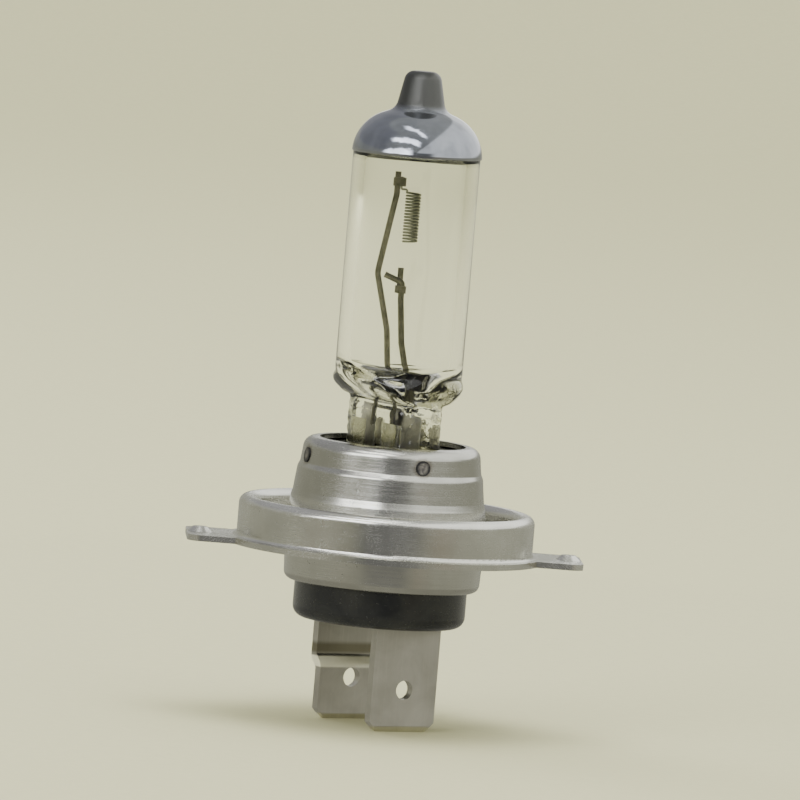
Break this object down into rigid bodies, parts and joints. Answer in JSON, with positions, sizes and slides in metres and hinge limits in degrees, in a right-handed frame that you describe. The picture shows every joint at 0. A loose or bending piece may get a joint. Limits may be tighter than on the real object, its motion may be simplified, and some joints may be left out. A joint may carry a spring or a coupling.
{
  "type": "headlight bulb",
  "caption": "Halogen headlight bulb: clear glass tube with a dark anti-glare tip, an axial filament, a flanged steel locating base and flat blade terminals.",
  "frame": {"origin": "centre of the reference plane, which touches the tops of the three lug bosses, on the axis of the locating ring", "axes": "+Z along the lamp axis towards the glass tip; the two opposite lugs lie along X and the third lug points along +Y"},
  "size_m": [0.033, 0.0297, 0.0546],
  "materials": {
    "quartz_glass": "clear and glossy, rippled where the foot is pressed",
    "glare_coat": "glossy blue-black coating",
    "tungsten": "drawn tungsten wire",
    "lead_wire": "drawn molybdenum wire, satin",
    "seal_foil": "thin etched foil, slightly lilac",
    "base_steel": "satin drawn stainless steel",
    "weld_metal": "spot weld with heat tint",
    "insulator_black": "glossy black",
    "terminal_tin": "dull tin plate"
  },
  "bodies": {
    "root": {"glass_envelope": "quartz_glass", "glare_coating": "glare_coat", "filament_coil": "tungsten", "long_lead": "lead_wire", "short_lead": "lead_wire", "upper_leg_clamp": "lead_wire", "lower_leg_clamp": "lead_wire", "seal_foil_far": "seal_foil", "seal_foil_near": "seal_foil", "outer_lead_far": "lead_wire", "outer_lead_near": "lead_wire", "pinch_holder": "base_steel", "collar": "base_steel", "reference_ring": "base_steel", "base_shell": "base_steel", "insulator": "insulator_black", "terminal_far": "terminal_tin", "terminal_near": "terminal_tin", "terminal_weld_far": "weld_metal", "terminal_weld_near": "weld_metal", "collar_weld_spots": "weld_metal", "ring_weld_spots": "weld_metal"}
  },
  "joints": []
}
